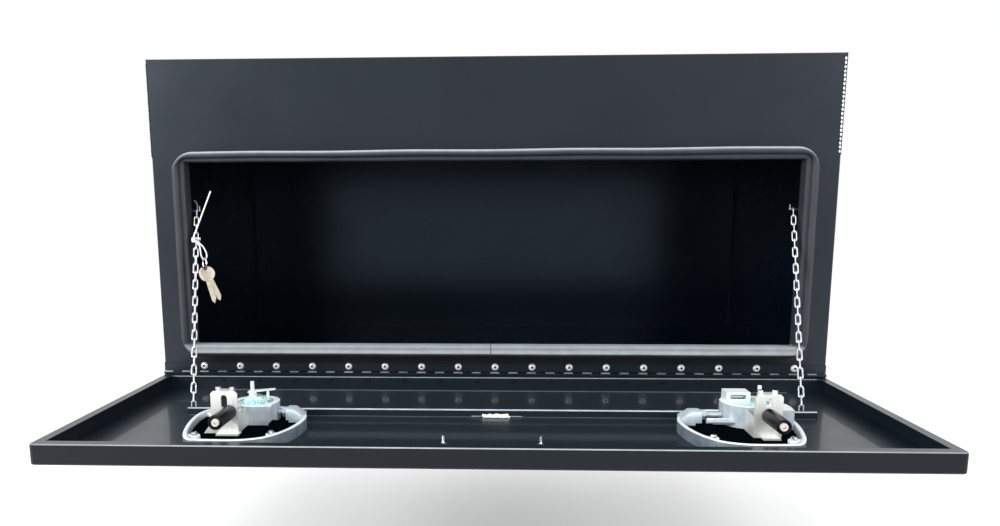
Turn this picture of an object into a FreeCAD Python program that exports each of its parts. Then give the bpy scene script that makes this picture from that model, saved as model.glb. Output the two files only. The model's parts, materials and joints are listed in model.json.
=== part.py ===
"""Undertray toolbox with a drop-down door, a piano hinge, two stay chains and two recessed locks.

Working frame: X to the right, Y into the box from its front face, Z up from its underside, in mm.
Every solid is moved at the end so that the origin is the middle of the top face, where it is bolted up.
The door is drawn open, level with the underside, and "reach" is the distance in front of the face.
"""
import FreeCAD, Part
import math
import os

# Box
BOX_W = 1000.0
BOX_H = 465.0
BOX_D = 485.0
SHEET = 1.6
BEND_R = 2.5
SEAM_Z = 325.0
SIDE_RETURN = 20.0
WELD_BEAD = 3.0
RIPPLE_PITCH = 9.2
FIT_GAP = 0.3

# Opening seal: edge trim on the forward lip, with a bulb on its outer side
SEAL_IN_X = BOX_W / 2 - 55.5
SEAL_Z0 = 49.0
SEAL_Z1 = 318.0
TRIM_W = 10.0
TRIM_DEPTH = 22.0
TRIM_SLOT = 4.2
SLOT_PLAY = 0.1
BULB_D = 11.0
SEAL_W = 17.5
LIP_DEPTH = 14.0
TRIM_CORNER_R = 16.0

# Piano hinge
PIN_Y = -2.9
PIN_Z = 3.0
PIN_D = 2.4
PIN_PLAY = 0.08
KNUCKLE_D = 5.0
LEAF = 1.2
DOOR_LEAF_H = 17.5
KNUCKLE_PAIRS = 36
KNUCKLE_GAP = 0.4
RIVET_COUNT = 17
RIVET_PITCH = (BOX_W - 108.8) / 16
RIVET_X0 = 62.2 - BOX_W / 2
RIVET_RISE = 10.5
RIVET_HEAD_D = 11.0
RIVET_HEAD_H = 3.0
RIVET_BODY_D = 4.8
RIVET_TAIL_D = 7.0
RIVET_TAIL_H = 2.2

# Door pan
DOOR_REACH = 362.0
DOOR_T = 24.0
DOOR_LIP = 13.0
DOOR_CORNER_R = 5.0

# Stiffener across the door
STIFF_X0 = 95.0 - BOX_W / 2
STIFF_X1 = BOX_W / 2 - 73.0
STIFF_REACH0 = 50.5
STIFF_REACH1 = 156.0
STIFF_H = 10.4
BEAD_LEN = 33.0
BEAD_LUMPS = 8
BEAD_R = 2.6

# Stay chains
CHAIN_U_X = BOX_W / 2 - 61.6
CHAIN_U_Z = 248.0
CHAIN_A_XL = 100.5 - BOX_W / 2
CHAIN_A_XR = BOX_W / 2 - 91.0
CHAIN_A_REACH = 148.0
EYE_RISE = 7.0
WIRE_D = 2.4
STAPLE_WIRE = 1.5
LINK_W = 8.2
LINKS = 23
UPPER_LINKS = 14
OPEN_LINKS = 2
LINK_PLAY = 0.45
HOOK_OVER = 6.0
HOOK_UP = 7.0

# Two bolts in the middle of the door
BOLT_XS = (-53.0, 60.5)
BOLT_REACH = 279.0
BOLT_D = 4.0
BOLT_RISE = 12.0
NUT_AF = 7.0
NUT_H = 3.2
HEAD_D = 8.0
HEAD_H = 2.6

# Locks
LOCK_XL = 200.0 - BOX_W / 2
LOCK_XR = BOX_W / 2 - 197.4
RING_SHAPE = [(-46, 312), (-58, 290), (-68, 252), (-73, 215), (-71, 190), (-62, 175), (-40, 166), (0, 163.5),
              (32, 164), (50, 173), (64, 194), (70.5, 217), (69.5, 243), (63.5, 269), (52, 293), (38, 308),
              (16, 316), (-10, 317), (-32, 315.5)]
RING_RISE = 14.9
RING_WALL = 5.0
TRAY_GAP = 2.0
TRAY_WALL = 2.0
HUMP_DX = 34.0
HUMP_REACH = 236.0
HUMP_W = 26.0
HUMP_LEN = 20.0
HUMP_H = 9.0
ARM_DX = 58.0
ARM_REACH = 222.0
ARM_RISE = 6.5
ARM_LEN = 40.0
ARM_D = 8.4
TRAY_FLANGE = 2.2
TRAY_RISE = 8.4
BEZEL_OVER = 4.0
CUT_PLAY = 0.5
LATCH_RISE = 34.8
LATCH_D = 9.0
LATCH_PLAY = 0.08
LATCH_BACK = 236.0
SLEEVE_D = 17.4
SLEEVE_TIP = 316.0
PLATE_REACH = 267.0
PLATE_T = 2.5
PLATE_W = 32.0
PLATE_TOP = 59.9
PLATE_SLOT_W = 7.8
HANDLE_T = 7.5
HANDLE_LIFT = 28.0
HANDLE_PIN_REACH = 294.0
HANDLE_PIN_D = 5.0
HANDLE_TAIL = 184.0
PLUG_D = 11.0
SHAFT_D = 5.5

# Zip tie and keys
TIE_DROP = 28.5
TIE_STRAP = 1.6
KEY_RING_R = 9.0
KEY_RING_TURN = 38.0

# Values that follow from the sizes above
FLOOR_Z = SHEET - DOOR_T
FLANGE_Y = PIN_Y + KNUCKLE_D / 2 - LEAF
TRAY_TOP = FLOOR_Z + TRAY_RISE
LATCH_Z = FLOOR_Z + LATCH_RISE
STIFF_TOP = FLOOR_Z + STIFF_H
BULB_OFF = SEAL_W - BULB_D / 2
BULB_FRONT = PIN_Y + FLOOR_Z - PIN_Z + FIT_GAP
V = FreeCAD.Vector
X_AXIS = V(1, 0, 0)
Y_AXIS = V(0, 1, 0)
Z_AXIS = V(0, 0, 1)
NODES = {}


def node(name, shape):
    """Keep one finished sub-part under its name."""
    if isinstance(shape, (list, tuple)):
        shape = shape[0] if len(shape) == 1 else Part.makeCompound(list(shape))
    NODES[name] = shape


def block(x0, x1, y0, y1, z0, z1):
    return Part.makeBox(x1 - x0, y1 - y0, z1 - z0, V(x0, y0, z0))


def rod(start, axis, length, diameter):
    return Part.makeCylinder(diameter / 2, length, start, axis)


def tube(start, axis, length, outer, inner):
    return rod(start, axis, length, outer).cut(rod(start, axis, length, inner))


def join(shapes):
    shapes = list(shapes)
    return shapes[0].multiFuse(shapes[1:]).removeSplitter()


def face_of(points):
    return Part.Face(Part.makePolygon(list(points) + [points[0]]))


def prism(points, direction):
    return face_of(points).extrude(direction)


def regular(center, radius, sides, axis, turn=0.0):
    """Corners of a regular polygon about an axis along X, Y or Z."""
    points = []
    for i in range(sides):
        a = 2 * math.pi * i / sides + turn
        u = radius * math.cos(a)
        w = radius * math.sin(a)
        if axis == "x":
            points.append(center + V(0, u, w))
        elif axis == "y":
            points.append(center + V(u, 0, w))
        else:
            points.append(center + V(u, w, 0))
    return points


def letter(axis):
    return "x" if abs(axis.x) > 0.5 else ("y" if abs(axis.y) > 0.5 else "z")


def bar(start, axis, length, diameter, sides=8):
    """Rod of flat facets along X, Y or Z, with its corners on the diameter."""
    return prism(regular(start, diameter / 2, sides, letter(axis)), axis * length)


def drill(start, axis, length, diameter, sides=6):
    """Cutter of flat facets that leaves the whole diameter free."""
    return bar(start, axis, length, diameter / math.cos(math.pi / sides), sides)


def turned(base, axis, profile, sides):
    """Facetted turned solid from (radius, height) pairs along X, Y or Z."""
    rings = [regular(base + axis * h, r, sides, letter(axis)) for r, h in profile]
    faces = [face_of(rings[0]), face_of(rings[-1])]
    for a, b in zip(rings, rings[1:]):
        for k in range(sides):
            m = (k + 1) % sides
            faces.append(face_of([a[k], a[m], b[m], b[k]]))
    return solid_of(faces)


def solid_of(faces):
    solid = Part.Solid(Part.Shell(faces))
    if solid.Volume < 0:
        solid.reverse()
    return solid


def round_corners(corners, steps):
    """Polygon points with each (x, y, radius) corner rounded by short straight steps."""
    n = len(corners)
    points = []
    for i, (x, y, r) in enumerate(corners):
        p = V(x, y, 0)
        a = (V(corners[i - 1][0], corners[i - 1][1], 0) - p).normalize()
        b = (V(corners[(i + 1) % n][0], corners[(i + 1) % n][1], 0) - p).normalize()
        half = a.getAngle(b) / 2
        t = r / math.tan(half)
        middle = (a + b).normalize()
        center = p + middle * (r / math.sin(half))
        start = p + a * t - center
        end = p + b * t - center
        turn = math.atan2(start.cross(end).z, start.dot(end))
        for k in range(steps + 1):
            q = turn * k / steps
            points.append(center + V(start.x * math.cos(q) - start.y * math.sin(q),
                                     start.x * math.sin(q) + start.y * math.cos(q), 0))
    return points


def hex_nut(base, height, across, bore):
    nut = prism(regular(base, across / math.sqrt(3), 6, "z"), V(0, 0, height))
    return nut.cut(drill(base - V(0, 0, 1), Z_AXIS, height + 2, bore)) if bore else nut


def edges_along(shape, axis, test):
    """Straight edges along an axis whose middle passes the test."""
    found = []
    for e in shape.Edges:
        if len(e.Vertexes) < 2:
            continue
        d = e.Vertexes[-1].Point - e.Vertexes[0].Point
        if d.Length < 1e-6 or abs(d.normalize().dot(axis)) < 0.999:
            continue
        if test(e.CenterOfMass):
            found.append(e)
    return found


# The box: a wrap, two sides and the front frame, all welded

def shell_wrap():
    """Upper front panel, top, back and bottom folded from one sheet."""
    x = BOX_W / 2 - SHEET
    outer = block(-x, x, 0, BOX_D, 0, BOX_H)
    bends = edges_along(outer, X_AXIS, lambda c: c.y > 1 or c.z > 1)
    outer = outer.makeChamfer(BEND_R * 0.6, bends)
    inner = block(-x - 1, x + 1, SHEET, BOX_D - SHEET, SHEET, BOX_H - SHEET)
    front = block(-x - 1, x + 1, -1, SHEET + 0.001, -1, SEAM_Z)
    return outer.cut(inner).cut(front)


def side_panel(side):
    """Flat side, cut away in front below the seam for the return of the front frame."""
    x0 = side * BOX_W / 2
    x1 = x0 - side * SHEET
    panel = block(min(x0, x1), max(x0, x1), 0, BOX_D, 0, BOX_H)
    return panel.cut(block(-BOX_W, BOX_W, -1, SIDE_RETURN, -1, SEAM_Z))


def lip_ring(y0, y1, off0, off1, r0, r1):
    """Band round the opening between two offsets from the seal's inner edge."""
    def plate(off, r):
        x = SEAL_IN_X + off
        if r <= 0:
            return block(-x, x, y0, y1, SEAL_Z0 - off, SEAL_Z1 + off)
        corners = [(-x, SEAL_Z0 - off, r), (x, SEAL_Z0 - off, r), (x, SEAL_Z1 + off, r), (-x, SEAL_Z1 + off, r)]
        return prism([V(p.x, y0, p.y) for p in round_corners(corners, 3)], V(0, y1 - y0, 0))
    return plate(off1, r1).cut(plate(off0, r0))


def front_frame():
    """Lower front with side returns and the opening, whose lip is folded forward."""
    x = BOX_W / 2
    frame = block(-x, x, 0, SIDE_RETURN, 0, SEAM_Z)
    corners = edges_along(frame, Z_AXIS, lambda c: c.y < 1)
    frame = frame.makeChamfer(BEND_R * 0.6, corners)
    frame = frame.cut(block(-x + SHEET, x - SHEET, SHEET, SIDE_RETURN + 1, -1, SEAM_Z + 1))
    hole = TRIM_SLOT
    opening = block(-SEAL_IN_X - hole, SEAL_IN_X + hole, -1, SHEET + 1, SEAL_Z0 - hole, SEAL_Z1 + hole)
    frame = frame.cut(opening)
    lip = lip_ring(-LIP_DEPTH, 0.0, hole, hole + SHEET, 0, BEND_R)
    frame = frame.fuse(lip).removeSplitter()
    return frame


def corner_weld(side):
    """Rippled bead up the front corner of the upper panel, as one toothed strip."""
    count = int((BOX_H - SEAM_Z - 8) / RIPPLE_PITCH)
    x = side * BOX_W / 2
    points = [V(x, 0.9, SEAM_Z + 3)]
    for i in range(count):
        z = SEAM_Z + 3 + i * RIPPLE_PITCH
        points += [V(x, -0.3, z + 0.2), V(x, -1.0, z + RIPPLE_PITCH / 2)]
    points.append(V(x, 0.9, SEAM_Z + 3 + count * RIPPLE_PITCH))
    return prism(points, V(side * 0.9, 0, 0))


def inner_bead(corner, axis, length, du, dv):
    """Fillet bead of triangular section in an inner corner."""
    return prism([corner, corner + du, corner + dv], axis * length)


def inner_welds():
    x = BOX_W / 2 - SHEET
    y = BOX_D - SHEET
    z = SHEET
    r = BEND_R
    beads = []
    for side in (-1, 1):
        corner = V(side * x, y, z + r + WELD_BEAD)
        beads.append(inner_bead(corner, Z_AXIS, BOX_H - 2 * SHEET - 2 * r - 2 * WELD_BEAD,
                                V(-side * WELD_BEAD, 0, 0), V(0, -WELD_BEAD, 0)))
    return beads


# Opening seal

def opening_seal():
    trim = lip_ring(-TRIM_DEPTH, -SLOT_PLAY, 0.0, TRIM_W, 0, TRIM_CORNER_R)
    slot = lip_ring(-LIP_DEPTH - SLOT_PLAY, 1.0, TRIM_SLOT - SLOT_PLAY, TRIM_SLOT + SHEET + SLOT_PLAY,
                    0, BEND_R + SLOT_PLAY)
    trim = trim.cut(slot)
    y = BULB_FRONT + BULB_D / 2
    hx = SEAL_IN_X + BULB_OFF
    r = TRIM_CORNER_R + BULB_OFF - TRIM_W + 4
    corners = [(-hx, SEAL_Z0 - BULB_OFF, r), (hx, SEAL_Z0 - BULB_OFF, r),
               (hx, SEAL_Z1 + BULB_OFF, r), (-hx, SEAL_Z1 + BULB_OFF, r)]
    path = [V(p.x, y, p.y) for p in round_corners(corners, 3)]
    bulb = facet_loop(path, BULB_D / 2, 8)
    return trim.fuse(bulb).removeSplitter()


# Piano hinge

def rivet_xs(count, shift):
    return [RIVET_X0 + RIVET_PITCH * (i + shift) for i in range(count)]


def knuckle_profile(x, leaf_points):
    """Leaf and knuckle in one outline across the hinge, with the pin bore."""
    center = V(x, PIN_Y, PIN_Z)
    outer = regular(center, KNUCKLE_D / 2 / math.cos(math.pi / 6), 6, "x", math.pi / 6)
    barrel = face_of(outer).extrude(V(BOX_W, 0, 0))
    leaf = prism([V(x, y, z) for y, z in leaf_points], V(BOX_W, 0, 0))
    bore = prism(regular(center, (PIN_D / 2 + PIN_PLAY) / math.cos(math.pi / 6), 6, "x"), V(BOX_W, 0, 0))
    return barrel, leaf, bore


def hinge_leaf(leaf_points, first):
    """One leaf with its share of the knuckles, cut clear for those of the other leaf."""
    barrel, leaf, bore = knuckle_profile(-BOX_W / 2, leaf_points)
    pitch = BOX_W / KNUCKLE_PAIRS
    half = pitch / 2
    cuts = []
    reach = KNUCKLE_D / 2 + KNUCKLE_GAP
    for i in range(KNUCKLE_PAIRS + 1):
        x = -BOX_W / 2 + i * pitch + (half if first else 0)
        cuts.append(block(x - KNUCKLE_GAP / 2, x + half + KNUCKLE_GAP / 2, PIN_Y - reach, PIN_Y + reach,
                          PIN_Z - reach, PIN_Z + reach))
    return barrel.fuse(leaf).cut(bore).cut(Part.makeCompound(cuts)).removeSplitter()


def hinge():
    up = [(-LEAF, PIN_Z), (-LEAF, PIN_Z + DOOR_LEAF_H - 2), (0, PIN_Z + DOOR_LEAF_H - 2), (0, PIN_Z)]
    upper = hinge_leaf(up, True)
    down = [(FLANGE_Y, PIN_Z), (FLANGE_Y, PIN_Z - DOOR_LEAF_H), (FLANGE_Y + LEAF, PIN_Z - DOOR_LEAF_H),
            (FLANGE_Y + LEAF, PIN_Z)]
    lower = hinge_leaf(down, False)
    node("hinge_leaf_box", upper)
    node("hinge_leaf_door", lower)
    node("hinge_pin", rod(V(-BOX_W / 2 + 0.5, PIN_Y, PIN_Z), X_AXIS, BOX_W - 1, PIN_D))


def rivet(x, face_y, z, grip, out, tail_shown):
    """Blind rivet: domed head, body and, where it shows, its set tail; out is the head's direction."""
    r = RIVET_HEAD_D / 2
    body = RIVET_BODY_D / 2 - 0.05
    tail = RIVET_TAIL_D / 2
    set_tail = [(tail - 0.8, -grip - RIVET_TAIL_H), (tail, -grip), (body, -grip)]
    profile = set_tail if tail_shown else [(body, -grip - RIVET_TAIL_H)]
    profile += [(body, 0), (r, 0), (r * 0.62, RIVET_HEAD_H)]
    return turned(V(x, face_y, z), Y_AXIS * out, profile, 6)


# Door

def ring_outline(lock_x, mirror, z, offset):
    """Plan outline of a lock at a height, grown or shrunk by an offset."""
    points = [V(lock_x + mirror * dx, -reach, z) for dx, reach in RING_SHAPE]
    wire = Part.makePolygon(points + points[:1])
    if offset:
        wire = wire.makeOffset2D(offset, 2)
    return Part.Face(wire)


def ring_solid(lock_x, mirror, z0, z1, offset):
    return ring_outline(lock_x, mirror, z0, offset).extrude(V(0, 0, z1 - z0))


def door_pan():
    """Shallow pan folded from sheet, with lips along the sides and the free edge."""
    x = BOX_W / 2
    y0 = -DOOR_REACH
    y1 = FLANGE_Y
    t = SHEET

    def tray(inset, z0, z1):
        r = DOOR_CORNER_R - inset
        front = round_corners([(-x + inset, y1 - inset, 0.01), (-x + inset, y0 + inset, r),
                               (x - inset, y0 + inset, r), (x - inset, y1 - inset, 0.01)], 3)[4:12]
        points = [V(-x + inset, y1 - inset, 0)] + front + [V(x - inset, y1 - inset, 0)]
        return prism([V(p.x, p.y, z0) for p in points], V(0, 0, z1 - z0))

    outer = tray(0.0, -DOOR_T, 0.0)
    rim = [e for e in outer.Edges if abs(e.CenterOfMass.z) > DOOR_T - 1e-3 and e.CenterOfMass.y < y1 - 1e-3]
    outer = outer.makeChamfer(BEND_R * 0.55, rim)
    lips = [e for e in outer.Edges if e.CenterOfMass.z > -1e-3 and e.CenterOfMass.y < y1 - 1e-3]
    outer = outer.makeChamfer(BEND_R * 0.45, lips)
    inner = tray(t, -DOOR_T + t, -t)
    mouth = block(-x + DOOR_LIP, x - DOOR_LIP, y0 + DOOR_LIP, y1 - t, -t - 1, 1)
    pan = outer.cut(inner).cut(mouth)
    holes = [ring_solid(lx, m, -DOOR_T - 1, FLOOR_Z + 1, -RING_WALL - TRAY_GAP + CUT_PLAY)
             for lx, m in ((LOCK_XL, 1), (LOCK_XR, -1))]
    holes += [drill(V(bx, -BOLT_REACH, -DOOR_T - 1), Z_AXIS, SHEET + 2, BOLT_D + 0.1) for bx in BOLT_XS]
    return pan.cut(Part.makeCompound(holes))


def door_stiffener():
    """Hat section across the door, with a pair of holes for each chain staple."""
    x0 = STIFF_X0
    length = STIFF_X1 - STIFF_X0
    y0 = -STIFF_REACH1
    y1 = -STIFF_REACH0
    outer = block(x0, x0 + length, y0, y1, FLOOR_Z, STIFF_TOP)
    outer = outer.makeChamfer(BEND_R * 0.6, edges_along(outer, X_AXIS, lambda c: c.z > STIFF_TOP - 1))
    inner = block(x0 - 1, x0 + length + 1, y0 + SHEET, y1 - SHEET, FLOOR_Z - 1, STIFF_TOP - SHEET)
    hat = outer.cut(inner)
    for ax in (CHAIN_A_XL, CHAIN_A_XR):
        for dx in (-1, 1):
            x = ax + dx * (LINK_W - WIRE_D) / 2
            hat = hat.cut(drill(V(x, -CHAIN_A_REACH, STIFF_TOP - 4), Z_AXIS, 8, WIRE_D + 0.3))
    return hat


def stiffener_weld():
    """Stitch bead at the foot of the stiffener, in the middle of its front."""
    mid = (STIFF_X0 + STIFF_X1) / 2
    step = BEAD_LEN / BEAD_LUMPS
    points = [V(mid - BEAD_LEN / 2, -STIFF_REACH1, FLOOR_Z)]
    for i in range(BEAD_LUMPS):
        x = mid - BEAD_LEN / 2 + i * step
        points += [V(x + step * 0.15, -STIFF_REACH1, FLOOR_Z + BEAD_R * 0.7),
                   V(x + step * 0.6, -STIFF_REACH1, FLOOR_Z + BEAD_R * 1.1)]
    points.append(V(mid + BEAD_LEN / 2, -STIFF_REACH1, FLOOR_Z))
    return prism(points, V(0, -BEAD_R, 0))


def centre_bolts():
    bolts = []
    nuts = []
    for x in BOLT_XS:
        foot = V(x, -BOLT_REACH, -DOOR_T)
        profile = [(HEAD_D / 2 - 0.8, -HEAD_H), (HEAD_D / 2, -0.5), (HEAD_D / 2, 0), (BOLT_D / 2, 0),
                   (BOLT_D / 2, SHEET + BOLT_RISE)]
        bolts.append(turned(foot, Z_AXIS, profile, 8))
        nuts.append(hex_nut(V(x, -BOLT_REACH, FLOOR_Z), NUT_H, NUT_AF, BOLT_D + 0.1))
    node("centre_bolts", bolts)
    node("centre_nuts", nuts)


# Chains

def link_solid(inner):
    """One welded link along Z about the origin, its opening facing Y, as mitred straight facets."""
    r = (LINK_W - WIRE_D) / 2
    z = inner / 2 + WIRE_D / 2 * math.sqrt(2) - r
    path = []
    for sign in (1, -1):
        for a in (-90, 0, 90):
            t = math.radians(a)
            path.append(V(sign * -r * math.sin(t) * -1, 0, sign * (z + r * math.cos(t))))
    return facet_loop(path, WIRE_D / 2, 4)


def facet_loop(path, radius, sides):
    """Closed tube of straight facets mitred at each point of a path in a plane with Y as its normal."""
    n = len(path)
    rings = []
    for i in range(n):
        before = (path[i] - path[i - 1]).normalize()
        after = (path[(i + 1) % n] - path[i]).normalize()
        middle = (before + after).normalize()
        out = Y_AXIS.cross(middle).normalize()
        stretch = 1 / max(0.3, middle.dot(after))
        ring = []
        for k in range(sides):
            a = 2 * math.pi * k / sides
            ring.append(path[i] + out * (radius * math.cos(a) * stretch) + Y_AXIS * (radius * math.sin(a)))
        rings.append(ring)
    faces = []
    for i in range(n):
        a = rings[i]
        b = rings[(i + 1) % n]
        for k in range(sides):
            m = (k + 1) % sides
            faces.append(face_of([a[k], a[m], b[m], b[k]]))
    return solid_of(faces)


def place_link(base, center, direction, turn):
    link = base.copy()
    turned = FreeCAD.Rotation(Z_AXIS, turn)
    aimed = FreeCAD.Rotation(Z_AXIS, direction)
    link.Placement = FreeCAD.Placement(center, aimed.multiply(turned))
    return link


def chain_points(side):
    u = V(side * CHAIN_U_X, SHEET + WIRE_D / 2, CHAIN_U_Z)
    a = V(CHAIN_A_XL if side < 0 else CHAIN_A_XR, -CHAIN_A_REACH, STIFF_TOP + EYE_RISE)
    return u, a


def chain(side, name):
    """Links from the tab on the box down to the staple on the door, open at one link."""
    u, a = chain_points(side)
    run = a - u
    length = run.Length
    direction = run.normalize()
    inner = (length + WIRE_D + (LINKS + 1) * LINK_PLAY) / LINKS
    first = inner / 2 - WIRE_D / 2 - LINK_PLAY
    step = inner - LINK_PLAY
    base = link_solid(inner)
    upper = []
    lower = []
    for i in range(LINKS):
        center = u + direction * (first + i * step)
        link = place_link(base, center, direction, 90 * ((i + 1) % 2))
        if i < UPPER_LINKS:
            upper.append(link)
        elif i >= UPPER_LINKS + OPEN_LINKS:
            lower.append(link)
    node("chain_upper_" + name, upper)
    node("chain_lower_" + name, lower)


def chain_hook(side):
    """Wire hook welded behind the frame; it reaches into the opening and turns up at its end."""
    u, _ = chain_points(side)
    x0 = side * (SEAL_IN_X + TRIM_SLOT + 24)
    x1 = side * (CHAIN_U_X - HOOK_OVER)
    shank = bar(V(min(x0, x1), u.y, u.z), X_AXIS, abs(x1 - x0), WIRE_D - 0.3)
    turn = bar(V(x1 + side * WIRE_D / 2, u.y, u.z), Z_AXIS, HOOK_UP, WIRE_D - 0.4)
    return join([shank, turn])


def staple(x):
    """Wire staple whose arch holds the last link above the stiffener."""
    half = (LINK_W - WIRE_D) / 2
    top = STIFF_TOP + EYE_RISE
    y = -CHAIN_A_REACH
    foot = STIFF_TOP - SHEET - 1.5
    w = STAPLE_WIRE / 2
    outer = [(-half - w, foot), (-half - w, top - half * 0.4), (-half * 0.7, top + w), (half * 0.7, top + w),
             (half + w, top - half * 0.4), (half + w, foot), (half - w, foot), (half - w, top - half * 0.6),
             (half * 0.4, top - w), (-half * 0.4, top - w), (-half + w, top - half * 0.6), (-half + w, foot)]
    return prism([V(x + dx, y - w, z) for dx, z in outer], V(0, 2 * w, 0))


# Locks

def lock(tag, lock_x, mirror):
    """One recessed lock: ring, tray, latch and handle; mirror is -1 for the right-hand one."""
    def at(dx, reach, z):
        return V(lock_x + mirror * dx, -reach, z)

    def slab(dx0, dx1, r0, r1, z0, z1):
        a = lock_x + mirror * dx0
        b = lock_x + mirror * dx1
        return block(min(a, b), max(a, b), -max(r0, r1), -min(r0, r1), z0, z1)

    rim = FLOOR_Z + RING_RISE
    inner = -RING_WALL - TRAY_GAP
    ear_z0 = TRAY_TOP
    ear_z1 = TRAY_TOP + 4.5
    wall = ring_solid(lock_x, mirror, FLOOR_Z, rim, 0)
    wall = wall.cut(ring_solid(lock_x, mirror, FLOOR_Z - 1, rim + 1, -RING_WALL))
    ears = []
    drills = []
    ear_spots = ((-44, 290), (44.5, 282.5), (-59, 189.5))
    for dx, reach in ear_spots:
        ears.append(bar(at(dx, reach, ear_z0), Z_AXIS, ear_z1 - ear_z0, 13, 8))
        side = math.copysign(1, dx)
        ears.append(slab(dx, dx + side * 40, reach - 5, reach + 5, ear_z0, ear_z1))
        drills.append(drill(at(dx, reach, ear_z0 - 1), Z_AXIS, 8, 4.2))
    boss_dx = 45.0 if mirror > 0 else 41.0
    boss_z = FLOOR_Z + 25.5
    boss = prism([at(boss_dx, 192, TRAY_TOP), at(boss_dx, 192, boss_z - 5), at(boss_dx, 198, boss_z),
                  at(boss_dx, 214, boss_z), at(boss_dx, 219, boss_z - 5), at(boss_dx, 219, TRAY_TOP)],
                 V(mirror * 37, 0, 0))
    body = join([wall] + [e.common(ring_solid(lock_x, mirror, ear_z0, boss_z, -1)) for e in ears + [boss]])
    node("lock_ring_" + tag, body.cut(Part.makeCompound(drills)))

    flange = ring_solid(lock_x, mirror, -DOOR_T - TRAY_FLANGE, -DOOR_T, BEZEL_OVER)
    dish = ring_solid(lock_x, mirror, -DOOR_T, TRAY_TOP, inner)
    pocket = ring_solid(lock_x, mirror, -DOOR_T - TRAY_FLANGE - 1, TRAY_TOP - TRAY_WALL, inner - TRAY_WALL)
    hump = prism([at(HUMP_DX, HUMP_REACH, TRAY_TOP), at(HUMP_DX, HUMP_REACH + HUMP_W, TRAY_TOP),
                  at(HUMP_DX, HUMP_REACH + HUMP_W - 6, TRAY_TOP + HUMP_H),
                  at(HUMP_DX, HUMP_REACH + 4, TRAY_TOP + HUMP_H)], V(mirror * HUMP_LEN, 0, 0))
    tray = flange.fuse(dish).cut(pocket).fuse(hump)
    pin_z = -DOOR_T - TRAY_FLANGE + HANDLE_T / 2 + 0.4
    lug_top = TRAY_TOP - TRAY_WALL
    for s in (-1, 1):
        lug = slab(s * 30, s * 36, HANDLE_PIN_REACH - 6, HANDLE_PIN_REACH + 6, pin_z - 4, lug_top)
        tray = tray.fuse(lug)
    tray = tray.cut(drill(at(-36 * mirror, HANDLE_PIN_REACH, pin_z), X_AXIS, 72, HANDLE_PIN_D + 0.1, 8))
    node("lock_tray_" + tag, tray.removeSplitter())

    screws = []
    for dx, reach in ear_spots:
        screws.append(turned(at(dx, reach, ear_z0), Z_AXIS, [(2, 0), (2, 4.5), (4.5, 4.5), (4.2, 6.2), (2.8, 7.9)], 7))

    # The latch mechanism is seen from opposite hands, so each side has its own housing
    left = mirror > 0
    plate_x = lock_x + (-15.0 if left else 21.9)
    latch_x = plate_x + (6.0 if left else 0.5)
    top = FLOOR_Z + PLATE_TOP
    cheek_top = FLOOR_Z + 31.9
    house_top = cheek_top if left else cheek_top + 3
    r0 = PLATE_REACH
    hub_x = plate_x + (18.0 if left else -2.5)
    hub_r = 30.0 if left else 34.0
    hub_reach = 203.0 if left else 200.0
    front = 233.0
    drum = bar(V(hub_x, -hub_reach, TRAY_TOP), Z_AXIS, house_top - TRAY_TOP, 2 * hub_r, 20)
    bx0 = plate_x + (12.0 if left else 17.0)
    bx1 = plate_x + (45.0 if left else 47.5)
    cheek = block(bx0, bx1, -front, -front + 33, TRAY_TOP, cheek_top)
    housing = drum.fuse(cheek).cut(block(hub_x - 2 * hub_r, hub_x + 2 * hub_r, -front - hub_r, -front,
                                         TRAY_TOP, house_top))
    if not left:
        root = V(plate_x - ARM_DX, -ARM_REACH, TRAY_TOP + ARM_RISE)
        housing = housing.fuse(bar(root, X_AXIS, ARM_LEN, ARM_D))
    inside = ring_solid(lock_x, mirror, TRAY_TOP - 1, house_top + 1, -RING_WALL - 0.5)
    housing = housing.common(inside)
    lighten = bar(V(hub_x, -hub_reach, house_top - 3), Z_AXIS, 4, hub_r * 1.5, 20)
    housing = housing.cut(lighten).removeSplitter()
    shelf = house_top - 3
    node("lock_housing_" + tag, housing)

    # Cover plate, spindle and the levers on top of the housing
    cover_r = hub_r * 0.75 - 0.3
    dome = [(13.0, 1.2), (13.0, 6.5), (8.5, 10.2)] if left else [(cover_r * 0.55, 4.5)]
    cover = turned(V(hub_x, -hub_reach, shelf), Z_AXIS, [(cover_r, 0), (cover_r, 1.2)] + dome, 20)
    stud_x = plate_x + (16.0 if left else 8.5)
    stud_reach = 208.0
    stud_top = FLOOR_Z + (58.5 if left else 57.0)
    hole = drill(V(stud_x, -stud_reach, shelf - 1), Z_AXIS, 16, 5.1)
    node("lock_cover_" + tag, cover.cut(hole))
    base_z = shelf + dome[-1][1]
    stud = bar(V(stud_x, -stud_reach, shelf), Z_AXIS, stud_top - shelf, 5.0)
    node("lock_spindle_" + tag, stud)
    nut = hex_nut(V(stud_x, -stud_reach, base_z), 5.5, 8.5, 5.1)
    node("lock_nut_" + tag, nut)
    arm_z = base_z + 5.5
    if left:
        arm = prism([V(stud_x - 5, -stud_reach - 5, arm_z), V(stud_x + 25, -stud_reach + 12, arm_z),
                     V(stud_x + 25, -stud_reach + 16, arm_z), V(stud_x - 5, -stud_reach + 5, arm_z)], V(0, 0, 1.8))
        leg = block(stud_x + 15, stud_x + 18, -stud_reach + 8.5, -stud_reach + 11.5, house_top, arm_z)
        arm = arm.fuse(leg).cut(drill(V(stud_x, -stud_reach, arm_z - 1), Z_AXIS, 4, 5.1)).cut(cover)
    else:
        ux0 = plate_x - 30.8
        ux1 = plate_x - 1.5
        y0 = -hub_reach - 6
        uz = house_top - 3
        arm = block(ux0, ux1, y0, y0 + 22, uz, uz + 15.7)
        arm = arm.cut(block(ux0 + 2, ux1 - 2, y0 + 2, y0 + 23, uz - 1, uz + 13.7))
        arm = arm.cut(block(ux0 + 5, ux1 - 5, y0 - 6, y0 + 8, uz + 7, uz + 12.7))
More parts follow.
